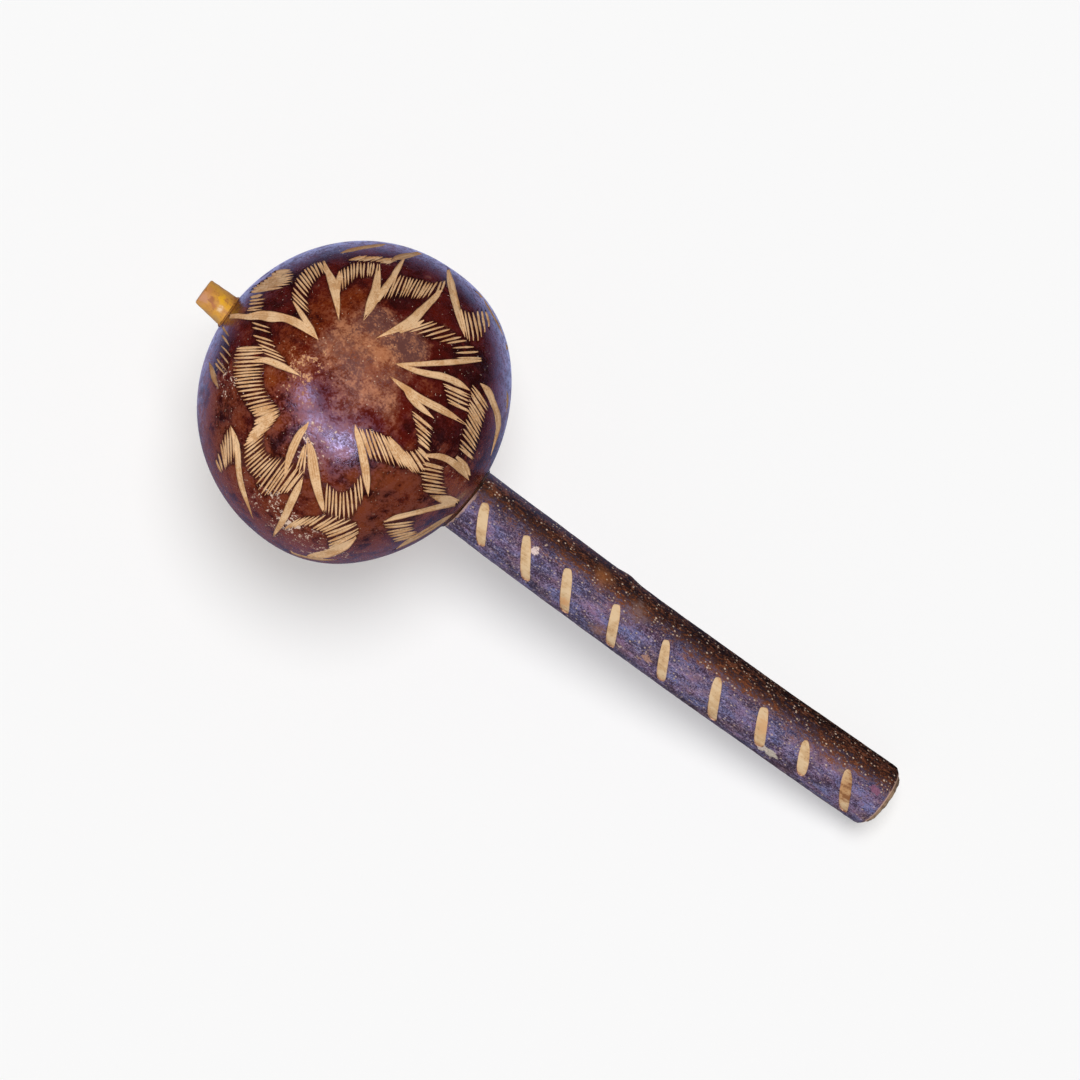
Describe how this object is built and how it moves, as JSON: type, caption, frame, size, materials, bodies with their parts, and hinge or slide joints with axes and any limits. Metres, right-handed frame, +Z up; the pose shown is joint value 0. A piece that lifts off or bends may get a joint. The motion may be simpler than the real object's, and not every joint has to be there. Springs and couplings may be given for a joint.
{
  "type": "shaman rattle",
  "caption": "Round lacquered gourd rattle, gouge-carved, on a notched bark-covered branch handle whose peg comes out at the crown, with loose seeds inside.",
  "frame": {"origin": "middle of the footprint, on the table that the rattle lies on", "axes": "+X from the peg towards the butt of the handle, +Z up; the stick dips towards +X"},
  "size_m": [0.2714, 0.1036, 0.1037],
  "materials": {
    "gourd_lacquer": "dried gourd skin under a red-brown lacquer, with pale gouge cuts",
    "pale_wood": "bare whittled wood",
    "dark_bark": "smooth dark bark with pale lenticels, waxed",
    "resin": "dark amber resin glue",
    "seed_coat": "hard dark seed coat"
  },
  "bodies": {
    "rattle": {"gourd_shell": "gourd_lacquer", "handle_stick": "pale_wood", "handle_bark": "dark_bark", "joint_glue": "resin", "peg_glue": "resin"},
    "seed_01": {"seed_01": "seed_coat"},
    "seed_02": {"seed_02": "seed_coat"},
    "seed_03": {"seed_03": "seed_coat"},
    "seed_04": {"seed_04": "seed_coat"},
    "seed_05": {"seed_05": "seed_coat"},
    "seed_06": {"seed_06": "seed_coat"},
    "seed_07": {"seed_07": "seed_coat"},
    "seed_08": {"seed_08": "seed_coat"},
    "seed_09": {"seed_09": "seed_coat"},
    "seed_10": {"seed_10": "seed_coat"},
    "seed_11": {"seed_11": "seed_coat"},
    "seed_12": {"seed_12": "seed_coat"},
    "seed_13": {"seed_13": "seed_coat"},
    "seed_14": {"seed_14": "seed_coat"},
    "seed_15": {"seed_15": "seed_coat"},
    "seed_16": {"seed_16": "seed_coat"},
    "seed_17": {"seed_17": "seed_coat"},
    "seed_18": {"seed_18": "seed_coat"},
    "seed_19": {"seed_19": "seed_coat"},
    "seed_20": {"seed_20": "seed_coat"},
    "seed_21": {"seed_21": "seed_coat"},
    "seed_22": {"seed_22": "seed_coat"},
    "seed_23": {"seed_23": "seed_coat"},
    "seed_24": {"seed_24": "seed_coat"}
  },
  "joints": [
    {"name": "seed_01_hop", "type": "slide", "parent": "rattle", "child": "seed_01", "axis": [0, 0, 1], "range_m": [0, 0.036]},
    {"name": "seed_02_hop", "type": "slide", "parent": "rattle", "child": "seed_02", "axis": [0, 0, 1], "range_m": [0, 0.0405]},
    {"name": "seed_03_hop", "type": "slide", "parent": "rattle", "child": "seed_03", "axis": [0, 0, 1], "range_m": [0, 0.037]},
    {"name": "seed_04_hop", "type": "slide", "parent": "rattle", "child": "seed_04", "axis": [0, 0, 1], "range_m": [0, 0.039]},
    {"name": "seed_05_hop", "type": "slide", "parent": "rattle", "child": "seed_05", "axis": [0, 0, 1], "range_m": [0, 0.036]},
    {"name": "seed_06_hop", "type": "slide", "parent": "rattle", "child": "seed_06", "axis": [0, 0, 1], "range_m": [0, 0.041]},
    {"name": "seed_07_hop", "type": "slide", "parent": "rattle", "child": "seed_07", "axis": [0, 0, 1], "range_m": [0, 0.0335]},
    {"name": "seed_08_hop", "type": "slide", "parent": "rattle", "child": "seed_08", "axis": [0, 0, 1], "range_m": [0, 0.0345]},
    {"name": "seed_09_hop", "type": "slide", "parent": "rattle", "child": "seed_09", "axis": [0, 0, 1], "range_m": [0, 0.0875]},
    {"name": "seed_10_hop", "type": "slide", "parent": "rattle", "child": "seed_10", "axis": [0, 0, 1], "range_m": [0, 0.037]},
    {"name": "seed_11_hop", "type": "slide", "parent": "rattle", "child": "seed_11", "axis": [0, 0, 1], "range_m": [0, 0.0865]},
    {"name": "seed_12_hop", "type": "slide", "parent": "rattle", "child": "seed_12", "axis": [0, 0, 1], "range_m": [0, 0.037]},
    {"name": "seed_13_hop", "type": "slide", "parent": "rattle", "child": "seed_13", "axis": [0, 0, 1], "range_m": [0, 0.0365]},
    {"name": "seed_14_hop", "type": "slide", "parent": "rattle", "child": "seed_14", "axis": [0, 0, 1], "range_m": [0, 0.039]},
    {"name": "seed_15_hop", "type": "slide", "parent": "rattle", "child": "seed_15", "axis": [0, 0, 1], "range_m": [0, 0.0865]},
    {"name": "seed_16_hop", "type": "slide", "parent": "rattle", "child": "seed_16", "axis": [0, 0, 1], "range_m": [0, 0.041]},
    {"name": "seed_17_hop", "type": "slide", "parent": "rattle", "child": "seed_17", "axis": [0, 0, 1], "range_m": [0, 0.0315]},
    {"name": "seed_18_hop", "type": "slide", "parent": "rattle", "child": "seed_18", "axis": [0, 0, 1], "range_m": [0, 0.0835]},
    {"name": "seed_19_hop", "type": "slide", "parent": "rattle", "child": "seed_19", "axis": [0, 0, 1], "range_m": [0, 0.04]},
    {"name": "seed_20_hop", "type": "slide", "parent": "rattle", "child": "seed_20", "axis": [0, 0, 1], "range_m": [0, 0.0305]},
    {"name": "seed_21_hop", "type": "slide", "parent": "rattle", "child": "seed_21", "axis": [0, 0, 1], "range_m": [0, 0.0365]},
    {"name": "seed_22_hop", "type": "slide", "parent": "rattle", "child": "seed_22", "axis": [0, 0, 1], "range_m": [0, 0.084]},
    {"name": "seed_23_hop", "type": "slide", "parent": "rattle", "child": "seed_23", "axis": [0, 0, 1], "range_m": [0, 0.0365]},
    {"name": "seed_24_hop", "type": "slide", "parent": "rattle", "child": "seed_24", "axis": [0, 0, 1], "range_m": [0, 0.084]}
  ]
}
